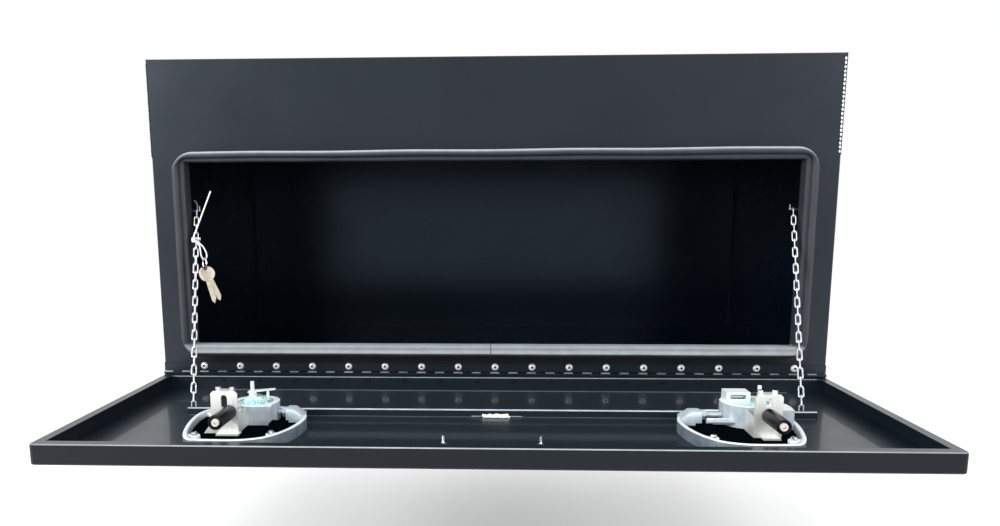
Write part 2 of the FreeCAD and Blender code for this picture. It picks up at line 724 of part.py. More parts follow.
        arm = arm.cut(cover).cut(housing)
    node("lock_lever_" + tag, arm.removeSplitter())

    # Slotted plate that carries the latch sleeve
    px0 = plate_x - PLATE_W / 2
    px1 = plate_x + PLATE_W / 2
    plate = block(px0, px1, -r0 - PLATE_T / 2, -r0 + PLATE_T / 2, TRAY_TOP, top)
    plate = plate.makeChamfer(3.0, edges_along(plate, Y_AXIS, lambda c: c.z > top - 1))
    fold = block(px0 + 6, px1 - 6, -r0 - PLATE_T / 2, -r0 + 13, top - 2, top)
    fx = px1 if left else px0
    wing = block(min(fx, fx - 2), max(fx, fx - 2), -r0 - PLATE_T / 2, -front - 2, TRAY_TOP, TRAY_TOP + 24)
    if not left:
        wing = block(px0, px0 + 2, -r0 - PLATE_T / 2, -front - 2, TRAY_TOP, TRAY_TOP + 24)
    foot = block(plate_x - 8 if left else px0 + 8, px1 + 3 if left else px1 - 4, -r0 - 12, -r0, TRAY_TOP, TRAY_TOP + 2)
    web = prism([V(px0 - 10, -r0 - 1.2, TRAY_TOP), V(px0 + 1, -r0 - 1.2, TRAY_TOP), V(px0 + 1, -r0 - 1.2, TRAY_TOP + 15)],
                V(0, 2.4, 0))
    parts = [plate, fold, wing, foot] + ([web] if left else [])
    plate = join(parts)
    slot_z0 = LATCH_Z + SLEEVE_D / 2 - 3
    slot_z1 = top - 4.5 - PLATE_SLOT_W / 2
    slot = block(plate_x - PLATE_SLOT_W / 2, plate_x + PLATE_SLOT_W / 2, -r0 - 5, -r0 + 5, slot_z0, slot_z1)
    slot = slot.fuse(bar(V(plate_x, -r0 - 5, slot_z1), Y_AXIS, 10, PLATE_SLOT_W, 12))
    bore = LATCH_D + 2 * LATCH_PLAY
    plate = plate.cut(slot).cut(drill(V(latch_x, -r0 - 20, LATCH_Z), Y_AXIS, 40, bore, 12))
    pins = []
    holes = []
    for s in (-1, 1):
        spot = V(plate_x + s * 8.5, -r0 + 6.5, top)
        pins.append(turned(spot, Z_AXIS, [(1.7, -7), (1.7, 0), (3.3, 0), (3.3, 4)], 7))
        holes.append(drill(spot - V(0, 0, 3), Z_AXIS, 4, 3.6))
    node("lock_plate_" + tag, plate.cut(Part.makeCompound(holes)))

    back = -r0 - PLATE_T / 2
    sleeve = bar(V(latch_x, -SLEEVE_TIP, LATCH_Z), Y_AXIS, SLEEVE_TIP + back, SLEEVE_D, 12)
    grow = 1 / math.cos(math.pi / 12)
    mouth = turned(V(latch_x, -SLEEVE_TIP, LATCH_Z), Y_AXIS, [(SLEEVE_D / 2 - 1.2, 0), (bore / 2 * grow, 2.6)], 12)
    sleeve = sleeve.cut(drill(V(latch_x, -SLEEVE_TIP - 1, LATCH_Z), Y_AXIS, 99, bore, 12)).cut(mouth)
    node("lock_sleeve_" + tag, sleeve)
    length = SLEEVE_TIP - 0.8 - LATCH_BACK
    bolt = turned(V(latch_x, -SLEEVE_TIP + 0.8, LATCH_Z), Y_AXIS,
                  [(LATCH_D / 2 - 0.7, 0), (LATCH_D / 2, 0.7), (LATCH_D / 2, length)], 12)
    node("lock_bolt_" + tag, bolt)

    # Release shaft between the housing and the boss on the ring
    shaft_z = FLOOR_Z + 19.4
    shaft_reach = 207.0
    head_x = lock_x + mirror * boss_dx
    near = max(0.0, abs(shaft_reach - hub_reach) - SHAFT_D / 2)
    house_x = hub_x + mirror * (math.sqrt(hub_r ** 2 - near ** 2) + 0.1)
    end_x = head_x - mirror * 0.1
    shaft = bar(V(min(end_x, house_x), -shaft_reach, shaft_z), X_AXIS, abs(end_x - house_x), SHAFT_D)
    cap_x = min(end_x, end_x - mirror * 6.3)
    cap = prism(regular(V(cap_x, -shaft_reach, shaft_z), 6.6, 6, "x"), V(6.3, 0, 0))
    shaft = shaft.fuse(cap).removeSplitter()
    node("lock_shaft_" + tag, shaft)

    handle_and_plug(tag, lock_x, mirror, pin_z)
    return screws, pins


def handle_and_plug(tag, lock_x, mirror, pin_z):
    """Whale-tail handle, drawn flush in its tray and then swung out about its pin."""
    def spot(dx, reach):
        return V(lock_x + mirror * dx, -reach, pin_z - HANDLE_T / 2)
    neck = 27.0
    tail = 46.0
    pin = HANDLE_PIN_REACH
    end = HANDLE_TAIL
    half = [(neck, pin + 5), (neck - 4, pin - 20), (neck - 5, pin - 40), (neck - 1, end + 52), (tail - 8, end + 34),
            (tail - 1, end + 24), (tail, end + 13), (tail - 4, end + 5), (tail - 14, end + 2), (tail - 28, end + 9),
            (0, end + 12)]
    outline = [spot(dx, reach) for dx, reach in half] + [spot(-dx, reach) for dx, reach in half[-2::-1]]
    paddle = prism(outline, V(0, 0, HANDLE_T))
    bore = drill(V(lock_x - 60, -pin, pin_z), X_AXIS, 120, HANDLE_PIN_D + 2 * PIN_PLAY, 12)
    plug_reach = pin - 26
    hole = drill(V(lock_x, -plug_reach, pin_z - 20), Z_AXIS, 40, PLUG_D + 2 * PIN_PLAY, 16)
    paddle = paddle.cut(bore).cut(hole)
    plug = bar(V(lock_x, -plug_reach, pin_z - HANDLE_T / 2 - 0.8), Z_AXIS, HANDLE_T + 1.2, PLUG_D, 16)
    keyway = block(lock_x - 0.9, lock_x + 0.9, -plug_reach - 3.6, -plug_reach + 3.6,
                   pin_z - HANDLE_T / 2 - 1, pin_z - HANDLE_T / 2 + 3)
    plug = plug.cut(keyway)
    center = V(lock_x, -pin, pin_z)
    for shape in (paddle, plug):
        shape.rotate(center, X_AXIS, -HANDLE_LIFT)
    node("lock_handle_" + tag, paddle)
    node("key_plug_" + tag, plug)
    node("handle_pin_" + tag, rod(V(lock_x - 36, -pin, pin_z), X_AXIS, 72, HANDLE_PIN_D))


# Zip tie, ring and keys on the left-hand chain

def chain_spot(z):
    u, a = chain_points(-1)
    t = (u.z - z) / (u.z - a.z)
    return u + (a - u) * t


def keys():
    knot = chain_spot(206.0)
    u, a = chain_points(-1)
    aim = FreeCAD.Rotation(Z_AXIS, a - u)
    strap = block(-5.4, 5.4, -5.4, 5.4, -1.3, 1.3).cut(block(-4.4, 4.4, -4.4, 4.4, -2, 2))
    strap.Placement = FreeCAD.Placement(knot, aim)
    x = knot.x
    y = knot.y - 9.2
    head = block(x - 2.4, x + 2.4, y - 2.2, knot.y - 4.8, knot.z - 2.6, knot.z + 3.4)
    head = head.cut(strap_core(knot, aim))
    p = [V(x + dx, y - 0.5 + 0.27 * dz, knot.z + dz) for dx, dz in ((-1.0, 0), (22.5, 70), (21.0, 71), (-2.6, 1))]
    tail = prism(p, V(0, 1.0, 0))
    loop = tie_loop(V(x, y - 0.8, knot.z))
    node("zip_tie", join([head, strap, tail, loop]))
    wire = 1.6
    hang = V(x + 14.0, y, knot.z - TIE_DROP + TIE_STRAP + wire + 0.6 - KEY_RING_R)
    split = bar(hang - V(0.9, 0, 0), X_AXIS, 1.8, 2 * KEY_RING_R, 24)
    split = split.cut(bar(hang - V(2, 0, 0), X_AXIS, 4, 2 * (KEY_RING_R - wire), 24))
    split.rotate(hang, Z_AXIS, KEY_RING_TURN)
    node("key_ring", split)
    blades = []
    lean = math.radians(KEY_RING_TURN)
    for turn, shift, length in ((-24, -3.8, 43.0), (-15, -0.9, 44.0), (-20, 2.0, 42.0)):
        along = (shift + 0.9) / math.cos(lean)
        sag = math.sqrt((KEY_RING_R - wire / 2) ** 2 - along ** 2)
        blades.append(key_blank(hang + V(-along * math.sin(lean), 0, -sag), shift, turn, length))
    node("keys", blades)


def strap_core(knot, aim):
    """Room for the chain inside the tie's strap."""
    core = block(-4.4, 4.4, -4.4, 4.4, -8, 8)
    core.Placement = FreeCAD.Placement(knot, aim)
    return core


def tie_loop(knot):
    """Slanting loop of the zip tie that the ring of the keys hangs in."""
    outline = [(0, 1), (8, -3), (14.5, -9.5), (18.5, -18), (19, -24), (16.5, -TIE_DROP), (11.5, -TIE_DROP),
               (8.8, -22), (7.7, -9), (3.5, -4.5)]
    points = [knot + V(dx, 0, dz) for dx, dz in outline]
    wire = Part.makePolygon(points + points[:1])
    hole = Part.Face(wire.makeOffset2D(-TIE_STRAP, 2))
    return Part.Face(wire).extrude(V(0, 1.6, 0)).cut(hole.extrude(V(0, 1.6, 0)))


def key_blank(eye, shift, turn, length):
    """Flat key: round bow with its eye, shoulder and blade, as one outline."""
    y0 = eye.y + shift
    bow_r = 10.5
    half = 3.6
    c = eye + V(0, 0, -bow_r + 2.5)
    outline = []
    for i in range(17):
        a = math.radians(-70 + i * 320 / 16)
        outline.append(V(c.x + bow_r * math.cos(a), y0, c.z + bow_r * math.sin(a)))
    z = c.z - length
    outline += [V(c.x - half, y0, z + 4), V(c.x - half * 0.2, y0, z), V(c.x + half, y0, z + 7)]
    shape = prism(outline, V(0, 1.8, 0))
    shape = shape.cut(drill(V(eye.x, y0 - 1, eye.z), Y_AXIS, 4, 5.4, 8))
    shape.rotate(V(eye.x, y0, eye.z), Y_AXIS, turn)
    return shape


# Assembly

def build():
    node("shell_wrap", shell_wrap())
    node("side_panel_left", side_panel(-1))
    node("side_panel_right", side_panel(1))
    node("front_frame", front_frame())
    node("corner_welds", [corner_weld(-1), corner_weld(1)])
    node("inner_welds", inner_welds())
    node("opening_seal", opening_seal())
    hinge()
    node("hinge_rivets_box", [rivet(x, -LEAF, PIN_Z + RIVET_RISE, LEAF + SHEET, -1, False)
                              for x in rivet_xs(RIVET_COUNT, 0.0)])
    node("hinge_rivets_door", [rivet(x, FLANGE_Y + LEAF, PIN_Z - RIVET_RISE, LEAF + SHEET, 1, True)
                               for x in rivet_xs(RIVET_COUNT - 1, 0.5)])
    node("door_pan", door_pan())
    node("door_stiffener", door_stiffener())
    node("stiffener_weld", stiffener_weld())
    centre_bolts()
    for side, name in ((-1, "left"), (1, "right")):
        chain(side, name)
    node("chain_hooks", [chain_hook(-1), chain_hook(1)])
    node("chain_staples", [staple(CHAIN_A_XL), staple(CHAIN_A_XR)])
    screws = []
    pins = []
    for tag, x, mirror in (("left", LOCK_XL, 1), ("right", LOCK_XR, -1)):
        s, p = lock(tag, x, mirror)
        screws += s
        pins += p
    node("lock_screws", screws)
    node("plate_screws", pins)
    keys()


def write():
    os.makedirs("parts", exist_ok=True)
    shift = V(0, -BOX_D / 2, -BOX_H)
    for name in sorted(NODES):
        shape = NODES[name].copy()
        shape.translate(shift)
        shape.exportStep("parts/" + name + ".step")


build()
write()
print(len(NODES), "nodes")
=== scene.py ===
"""Looks of the undertray toolbox: finishes, small detail, light and camera."""
import bmesh
import bpy
import json
import math
import random
from mathutils import Matrix, Vector


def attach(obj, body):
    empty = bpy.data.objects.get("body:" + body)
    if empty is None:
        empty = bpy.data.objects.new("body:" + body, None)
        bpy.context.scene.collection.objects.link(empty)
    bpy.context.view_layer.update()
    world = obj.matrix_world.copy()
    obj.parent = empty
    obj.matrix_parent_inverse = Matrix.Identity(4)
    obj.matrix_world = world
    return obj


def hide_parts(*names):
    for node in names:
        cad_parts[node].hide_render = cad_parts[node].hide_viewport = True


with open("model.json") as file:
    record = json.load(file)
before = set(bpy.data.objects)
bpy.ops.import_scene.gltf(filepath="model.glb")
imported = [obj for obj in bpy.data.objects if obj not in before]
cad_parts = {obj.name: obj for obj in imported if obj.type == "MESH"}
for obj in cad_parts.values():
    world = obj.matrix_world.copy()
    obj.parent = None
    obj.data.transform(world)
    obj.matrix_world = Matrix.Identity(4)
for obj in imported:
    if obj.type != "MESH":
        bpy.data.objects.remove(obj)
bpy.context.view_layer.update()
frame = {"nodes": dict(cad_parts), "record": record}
NODES = frame["nodes"]
random.seed(7)

# The source's working frame, in mm: X right from the middle, Y in from the front, Z up from the underside
BOX_D, BOX_H = 485.0, 465.0
SIDES = ("left", "right")


def at(x, y, z):
    """A point of the scene, in metres, from one of the working frame, in mm."""
    return Vector((x / 1000, (y - BOX_D / 2) / 1000, (z - BOX_H) / 1000))


def working(point):
    """The reverse of at(): a point of the scene as x, y and z in the working frame."""
    return point.x * 1000, point.y * 1000 + BOX_D / 2, point.z * 1000 + BOX_H


# Camera, matched to the photograph's corners; angles in radians
EYE = (5.385, -1159.114, 252.63)
PITCH, YAW, ROLL = 0.158882, -0.0391653, -0.00280578
SENSOR, LENS = 36, 28.08
SHIFT_X, SHIFT_Y = 0.0365, 0.069


def place_camera():
    forward = Vector((math.sin(YAW) * math.cos(PITCH), math.cos(YAW) * math.cos(PITCH), -math.sin(PITCH)))
    right = Vector((math.cos(YAW), -math.sin(YAW), 0))
    up = right.cross(forward)
    axis_x = right * math.cos(ROLL) + up * math.sin(ROLL)
    axis_y = up * math.cos(ROLL) - right * math.sin(ROLL)
    data = bpy.data.cameras.new("camera")
    data.sensor_width = SENSOR
    data.lens = LENS
    data.shift_x, data.shift_y = SHIFT_X, SHIFT_Y
    data.clip_start = 0.05
    camera = bpy.data.objects.new("camera", data)
    bpy.context.collection.objects.link(camera)
    axes = Matrix((axis_x, axis_y, -forward)).transposed().to_4x4()
    camera.matrix_world = Matrix.Translation(at(*EYE)) @ axes
    bpy.context.scene.camera = camera


place_camera()
bpy.context.scene.view_settings.view_transform = "Standard"


# Node helpers

class Nodes:
    """A material's node tree, with short calls for the nodes used here."""

    def __init__(self, name):
        self.mat = bpy.data.materials.new(name)
        self.mat.use_nodes = True
        self.tree = self.mat.node_tree
        self.shader = self.tree.nodes["Principled BSDF"]
        self.coord = self.put("ShaderNodeTexCoord")
        self.place = self.coord.outputs["Object"]

    def put(self, kind, **values):
        made = self.tree.nodes.new(kind)
        for key, value in values.items():
            setattr(made, key, value)
        return made

    def link(self, a, b):
        self.tree.links.new(a, b)

    def feed(self, socket, value):
        """Set a socket to a number or a colour, or link it to another node's output."""
        if isinstance(value, tuple):
            socket.default_value = (*value, 1)
        elif isinstance(value, (float, int)):
            socket.default_value = value
        else:
            self.link(value, socket)

    def use(self, name, value):
        self.feed(self.shader.inputs[name], value)

    def stretch(self, scale):
        mapping = self.put("ShaderNodeMapping")
        mapping.inputs["Scale"].default_value = scale
        self.link(self.place, mapping.inputs["Vector"])
        return mapping.outputs["Vector"]

    def noise(self, scale, detail=3.0, rough=0.5, vector=None):
        made = self.put("ShaderNodeTexNoise")
        for key, value in (("Scale", scale), ("Detail", detail), ("Roughness", rough)):
            made.inputs[key].default_value = value
        self.link(vector or self.place, made.inputs["Vector"])
        return made.outputs["Fac"]

    def ramp(self, fac, stops):
        made = self.put("ShaderNodeValToRGB")
        while len(made.color_ramp.elements) < len(stops):
            made.color_ramp.elements.new(0.5)
        for element, (pos, color) in zip(made.color_ramp.elements, stops):
            element.position = pos
            element.color = (*color, 1)
        self.link(fac, made.inputs["Fac"])
        return made.outputs["Color"]

    def span(self, fac, low, high, a=0.0, b=1.0):
        """Turn the stretch from a to b into the stretch from low to high."""
        made = self.put("ShaderNodeMapRange")
        for key, value in (("From Min", a), ("From Max", b), ("To Min", low), ("To Max", high)):
            made.inputs[key].default_value = value
        self.link(fac, made.inputs["Value"])
        return made.outputs["Result"]

    def mix(self, fac, a, b):
        made = self.put("ShaderNodeMix", data_type="RGBA")
        factor, color_a, color_b, color_out = 0, 6, 7, 2
        for index, value in ((factor, fac), (color_a, a), (color_b, b)):
            self.feed(made.inputs[index], value)
        return made.outputs[color_out]

    def calc(self, operation, *values):
        made = self.put("ShaderNodeMath", operation=operation)
        for socket, value in zip(made.inputs, values):
            self.feed(socket, value)
        return made.outputs[0]

    def bump(self, height, strength, distance):
        made = self.put("ShaderNodeBump")
        made.inputs["Strength"].default_value = strength
        made.inputs["Distance"].default_value = distance
        self.link(height, made.inputs["Height"])
        return made.outputs["Normal"]


# Finishes: low and high are the colours that the mottling runs between

def powder_coat(name, low, high, rough, peel=0.12, level=0.42, tint=(0.72, 0.82, 1.0), gloss=0.0):
    """Black powder coat: fine orange peel, faint cloudiness and a few dull smudges."""
    m = Nodes(name)
    m.use("Specular IOR Level", level)
    m.use("Specular Tint", tint)
    m.use("Coat Weight", gloss)
    m.use("Coat Roughness", 0.07)
    cloud = m.noise(5.0, 4.0, 0.6)
    m.use("Base Color", m.mix(m.span(cloud, 0, 1, 0.3, 0.7), low, high))
    smudge = m.noise(14.0, 6.0, 0.65)
    m.use("Roughness", m.span(smudge, rough - 0.03, rough + 0.04, 0.3, 0.75))
    fine = m.noise(420.0, 2.0, 0.5)
    m.use("Normal", m.bump(fine, peel, 0.0004))
    return m.mat


def mottled(name, low, high, rough, grain=60.0, bump=0.1, depth=0.0003, metallic=1.0, stretch=(1, 1, 1)):
    """Plated, cast or moulded surface with mottled colour and roughness."""
    m = Nodes(name)
    place = m.stretch(stretch)
    spot = m.noise(grain, 5.0, 0.6, place)
    m.use("Base Color", m.mix(m.span(spot, 0, 1, 0.35, 0.65), low, high))
    m.use("Metallic", metallic)
    polish = m.noise(grain * 2.3, 4.0, 0.6, place)
    m.use("Roughness", m.span(polish, rough - 0.07, rough + 0.1, 0.3, 0.7))
    m.use("Normal", m.bump(m.noise(grain * 6, 3.0, 0.6, place), bump, depth))
    return m.mat


def seal_rubber_painted_light():
    """Grey rubber with painted light: paler where it faces up and along the sill, darker where it faces down
    and in a band under the sill, with a slightly chalky surface.
    """
    sill_painted_shade_band = at(0, 0, 37.4).z, at(0, 0, 38.6).z
    over_sill = at(0, 0, 48.5).z, at(0, 0, 52.0).z
    butt_x, butt_core, butt_edge = 0.0011, 0.0003, 0.0009
    m = Nodes("seal_rubber_painted_light")
    normal = m.put("ShaderNodeSeparateXYZ")
    m.link(m.coord.outputs["Normal"], normal.inputs[0])
    facing = m.span(normal.outputs["Z"], 0, 1, -1.0, 1.0)
    # Painted light by facing: dark where the rubber faces down, pale where it faces up
    side = m.ramp(facing, [(0.0, (0.014, 0.018, 0.023)), (0.42, (0.024, 0.029, 0.036)),
                           (0.55, (0.038, 0.046, 0.056)), (0.74, (0.12, 0.14, 0.16)),
                           (0.84, (0.36, 0.41, 0.45)), (1.0, (0.42, 0.46, 0.5))])
    # The sill run is paler still: painted light on its up-facing faces
    sill = m.ramp(facing, [(0.30, (0.17, 0.19, 0.21)), (0.48, (0.23, 0.255, 0.28)),
                           (0.62, (0.28, 0.31, 0.335)), (1.0, (0.31, 0.34, 0.365))])
    spot = m.put("ShaderNodeSeparateXYZ")
    m.link(m.place, spot.inputs[0])
    # Painted shade: a dark band under the sill
    sill = m.mix(m.span(spot.outputs["Z"], 0, 1, *sill_painted_shade_band), (0.016, 0.019, 0.024), sill)
    from_butt = m.calc("ABSOLUTE", m.calc("SUBTRACT", spot.outputs["X"], butt_x))
    sill = m.mix(m.span(from_butt, 1, 0, butt_core, butt_edge), sill, (0.02, 0.024, 0.03))
    tone = m.mix(m.span(spot.outputs["Z"], 1, 0, *over_sill), side, sill)
    cloud = m.span(m.noise(60.0, 4.0, 0.6), 0.86, 1.08, 0.3, 0.7)
    shade = m.put("ShaderNodeVectorMath", operation="SCALE")
    m.link(tone, shade.inputs[0])
    m.link(cloud, shade.inputs["Scale"])
    m.use("Base Color", shade.outputs[0])
    m.use("Roughness", 0.5)
    m.use("Specular IOR Level", 0.3)
    m.use("Normal", m.bump(m.noise(300.0, 3.0, 0.6), 0.12, 0.0003))
    return m.mat


# Black finishes: outside, door (a lighter copy, painted light), its front edge and inside (darker copies,
# painted shade), hinge, lock trays and bolt sleeves
COAT = powder_coat("powder_coat", (0.0040, 0.0065, 0.0115), (0.0060, 0.0090, 0.0150), 0.30,
                   tint=(0.80, 0.88, 1.0))
# Lighter copy of the coat on the door and stiffener: painted light where they face up
COAT_DOOR_PAINTED_LIGHT = powder_coat("powder_coat_door_painted_light", (0.0080, 0.0140, 0.0200), (0.0115, 0.0180, 0.0250), 0.36,
                        peel=0.1, level=0.35, tint=(0.74, 0.88, 1.0), gloss=0.3)
# Darker copy of the coat on the door's front edge: painted shade
COAT_LIP_PAINTED_SHADE = powder_coat("powder_coat_front_painted_shade", (0.0030, 0.0036, 0.0042), (0.0050, 0.0058, 0.0066), 0.36,
                       peel=0.1, level=0.27)
# Darker copy of the coat inside the box and on its inner welds: painted shade
COAT_INSIDE_PAINTED_SHADE = powder_coat("powder_coat_inside_painted_shade", (0.0012, 0.0036, 0.0085), (0.0024, 0.0056, 0.0115), 0.26,
                      peel=0.07, level=0.35, tint=(0.6, 0.8, 1.0))
HINGE = powder_coat("hinge_coat", (0.004, 0.008, 0.013), (0.012, 0.014, 0.018), 0.36)
GLOSS = powder_coat("gloss_black", (0.0010, 0.0018, 0.0030), (0.0020, 0.0030, 0.0042), 0.3,
                    peel=0.05, level=0.0)
SLEEVE = powder_coat("satin_black", (0.0020, 0.0030, 0.0042), (0.005, 0.006, 0.007), 0.3,
                     peel=0.06, level=0.3)

# Painted highlights: lighter, metallic colour on folds, knuckles and edges where they catch the light; the
# brightest one is also the own colour of the wire end on the left hook
FOLD_HIGHLIGHT = mottled("fold_painted_highlight", (0.27, 0.30, 0.32), (0.34, 0.37, 0.39), 0.34,
               grain=40, bump=0.05, depth=0.0002, metallic=0.85)
FOLD_HIGHLIGHT_DIM = mottled("fold_painted_highlight_dim", (0.07, 0.085, 0.10), (0.10, 0.12, 0.135), 0.34,
                   grain=40, bump=0.05, depth=0.0002, metallic=0.7)
# Painted highlight along the fronts of the hinge barrels
KNUCKLE_HIGHLIGHT = mottled("knuckle_painted_highlight", (0.24, 0.27, 0.29), (0.46, 0.49, 0.52), 0.35,
                  grain=30, bump=0.05, metallic=0.4)
PALE_WIRE_AND_EDGE_HIGHLIGHT = mottled("pale_wire_and_painted_edge_highlight", (0.42, 0.48, 0.51), (0.58, 0.64, 0.67), 0.4,
               grain=30, bump=0.05, metallic=0.2)
DIM_EDGE_HIGHLIGHT = mottled("painted_dim_edge_highlight", (0.10, 0.115, 0.13), (0.15, 0.17, 0.19), 0.4,
                   grain=30, bump=0.05, metallic=0.2)

# Bare and plated metal
ZINC = mottled("bright_zinc", (0.62, 0.65, 0.68), (0.82, 0.84, 0.86), 0.2, grain=160, bump=0.08)
RIVET = mottled("rivet_steel", (0.90, 0.90, 0.89), (0.96, 0.96, 0.95), 0.35,
                grain=220, bump=0.08, metallic=0.3)
CAST = mottled("cast_zinc", (0.50, 0.59, 0.66), (0.64, 0.73, 0.79), 0.42,
               grain=90, bump=0.3, depth=0.0005, metallic=0.3)
# Darker copy of the cast zinc on the ring's outer wall: painted shade
CAST_WALL_PAINTED_SHADE = mottled("cast_zinc_wall_painted_shade", (0.13, 0.17, 0.21), (0.20, 0.25, 0.30), 0.5,
                    grain=90, bump=0.3, depth=0.0005, metallic=0.3)
# Paler cast zinc: painted top light on the ring's rim and the housing's top, and the own colour of the lever,
# nut, spindle and ratchet dots
CAST_PALE_AND_PAINTED_TOP_LIGHT = mottled("pale_cast_zinc_and_painted_top_light", (0.82, 0.90, 0.90), (0.93, 0.97, 0.96), 0.4,
                   grain=90, bump=0.2, depth=0.0004, metallic=0.2)
PLATE = mottled("cream_zinc", (0.82, 0.84, 0.80), (0.94, 0.95, 0.92), 0.42,
                grain=130, metallic=0.6, stretch=(1, 1, 0.4))
CYAN = mottled("blue_zinc", (0.36, 0.62, 0.64), (0.66, 0.86, 0.86), 0.45,
               grain=160, bump=0.2, metallic=0.4)
BEIGE = mottled("beige_face", (0.72, 0.66, 0.58), (0.84, 0.79, 0.71), 0.5,
                grain=200, bump=0.3, depth=0.0004, metallic=0.1)
BRIGHT_WELD_AND_HIGHLIGHT = mottled("bright_weld_and_painted_highlight", (0.72, 0.74, 0.76), (0.9, 0.92, 0.93), 0.3,
               grain=240, bump=0.35, depth=0.0005)
KEY = mottled("key_nickel", (0.50, 0.45, 0.36), (0.68, 0.62, 0.52), 0.32, grain=200, bump=0.12)
# Near-black inside the rivet holes and on a rib wall of the bolt faces: painted shade
HOLLOW_SHADE = mottled("painted_shade_in_hollows", (0.012, 0.008, 0.007), (0.035, 0.022, 0.016), 0.5,
                  grain=300, bump=0.2, metallic=0.0)

# Nylon and rubber
NYLON = mottled("white_nylon", (0.80, 0.80, 0.77), (0.88, 0.88, 0.86), 0.4, bump=0.05, metallic=0.0)
SEAL_RUBBER_PAINTED_LIGHT = seal_rubber_painted_light()


# CAD nodes: one finish by material slot, then the pieces and the faces that differ
BY_SLOT = {"powder_black": COAT, "hinge_black": HINGE, "weld_steel": BRIGHT_WELD_AND_HIGHLIGHT, "rubber_seal": SEAL_RUBBER_PAINTED_LIGHT,
           "zinc_bright": ZINC, "rivet_steel": RIVET, "cast_zinc": CAST, "plated_plate": PLATE,
           "black_plastic": GLOSS, "sleeve_black": SLEEVE, "tie_white": NYLON, "key_nickel": KEY}
SLOT_OF = {s["node"]: s["material_slot"] for s in frame["record"]["subparts"]}
for name, obj in NODES.items():
    obj.data.materials.clear()
    obj.data.materials.append(BY_SLOT.get(SLOT_OF[name], COAT))

BY_NAME = {"inner_welds": COAT_INSIDE_PAINTED_SHADE, "hinge_rivets_door": HINGE}
for side in SIDES:
    BY_NAME["lock_cover_" + side] = CYAN
    for piece in ("lock_lever_", "lock_nut_", "lock_spindle_"):
        BY_NAME[piece + side] = CAST_PALE_AND_PAINTED_TOP_LIGHT
for name, material in BY_NAME.items():
    NODES[name].data.materials[0] = material


def dress(name, materials, choose):
    """Give each face of a node the finish whose number choose() returns for its middle and its normal."""
    mesh = NODES[name].data
    mesh.materials.clear()
    for material in materials:
        mesh.materials.append(material)
    for face in mesh.polygons:
        face.material_index = choose(working(face.center), face.normal)


def wall_face(mid, normal):
    """0 on the outside of the box's walls, 1 on the inside, which takes the darker coat as painted shade."""
    middle_y, middle_z = 242, 232
    x, y, z = mid
    inward = normal.x * -x + normal.y * (middle_y - y) + normal.z * (middle_z - z)
    return 1 if inward > 0 else 0


def pan_face(mid, normal):
    """0 inside the door (lighter coat, painted light), 1 on its front edge (darker coat, painted shade), 2 on
    the fold along that edge's top (painted highlight), 3 on its outer face.
    """
    front_y, fold_y, fold_z, outer_z = -355, -340, -4, -22
    _, y, z = mid
    if normal.z > 0.3 and normal.y < -0.3 and y < fold_y and z > fold_z:
        return 2
    if normal.z < -0.5 and z < outer_z:
        return 3
    return 1 if normal.y < -0.5 and y < front_y else 0


def hat_face(mid, normal):
    """1 on the stiffener's front fold (painted highlight), 2 on its rear one (dimmer painted highlight), 0
    elsewhere.
    """
    if normal.z > 0.3 and abs(normal.y) > 0.3:
        return 1 if normal.y < 0 else 2
    return 0


def drum_face(mid, normal):
    """1 on the lock housing's flat top, which takes the paler finish as painted top light, 0 on its walls."""
    top_z = -4
    return 1 if normal.z > 0.6 and mid[2] > top_z else 0


def knuckle_face(mid, normal):
    """1 on the front of the hinge barrels, where they catch the light and take a painted highlight, 0
    elsewhere.
    """
    barrel_y, pin_z, band = -1.5, 3, 2.8
    _, y, z = mid
    return 1 if y < barrel_y and abs(z - pin_z) < band and abs(normal.x) < 0.5 and normal.z > 0.1 else 0


for name in ("shell_wrap", "side_panel_left", "side_panel_right"):
    dress(name, (COAT, COAT_INSIDE_PAINTED_SHADE), wall_face)
dress("door_pan", (COAT_DOOR_PAINTED_LIGHT, COAT_LIP_PAINTED_SHADE, FOLD_HIGHLIGHT, COAT), pan_face)
dress("door_stiffener", (COAT_DOOR_PAINTED_LIGHT, FOLD_HIGHLIGHT, FOLD_HIGHLIGHT_DIM), hat_face)
dress("hinge_leaf_box", (HINGE, KNUCKLE_HIGHLIGHT), knuckle_face)
for side in SIDES:
    dress("lock_housing_" + side, (CAST, CAST_PALE_AND_PAINTED_TOP_LIGHT), drum_face)


# Mesh helpers

def finish_piece(name, bm, materials, body, nodes=(), sharp=38.0):
    """Turn a bmesh into a piece: smooth but for edges over the sharp angle, and told what it rides on."""
    bmesh.ops.remove_doubles(bm, verts=bm.verts, dist=1e-7)
    bmesh.ops.recalc_face_normals(bm, faces=bm.faces)
    for face in bm.faces:
        face.smooth = True
    for edge in bm.edges:
        if len(edge.link_faces) == 2 and edge.calc_face_angle(0.0) > math.radians(sharp):
            edge.smooth = False
    mesh = bpy.data.meshes.new(name)
    bm.to_mesh(mesh)
    bm.free()
    for material in materials:
        mesh.materials.append(material)
    obj = bpy.data.objects.new(name, mesh)
    bpy.context.collection.objects.link(obj)
    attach(obj, body)
    if nodes:
        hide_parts(*nodes)


def circle(center, radius, u, w, sides):
    """Points round a centre, in the plane of u and w."""
    angles = (2 * math.pi * k / sides for k in range(sides))
    return [center + u * (radius * math.cos(t)) + w * (radius * math.sin(t)) for t in angles]


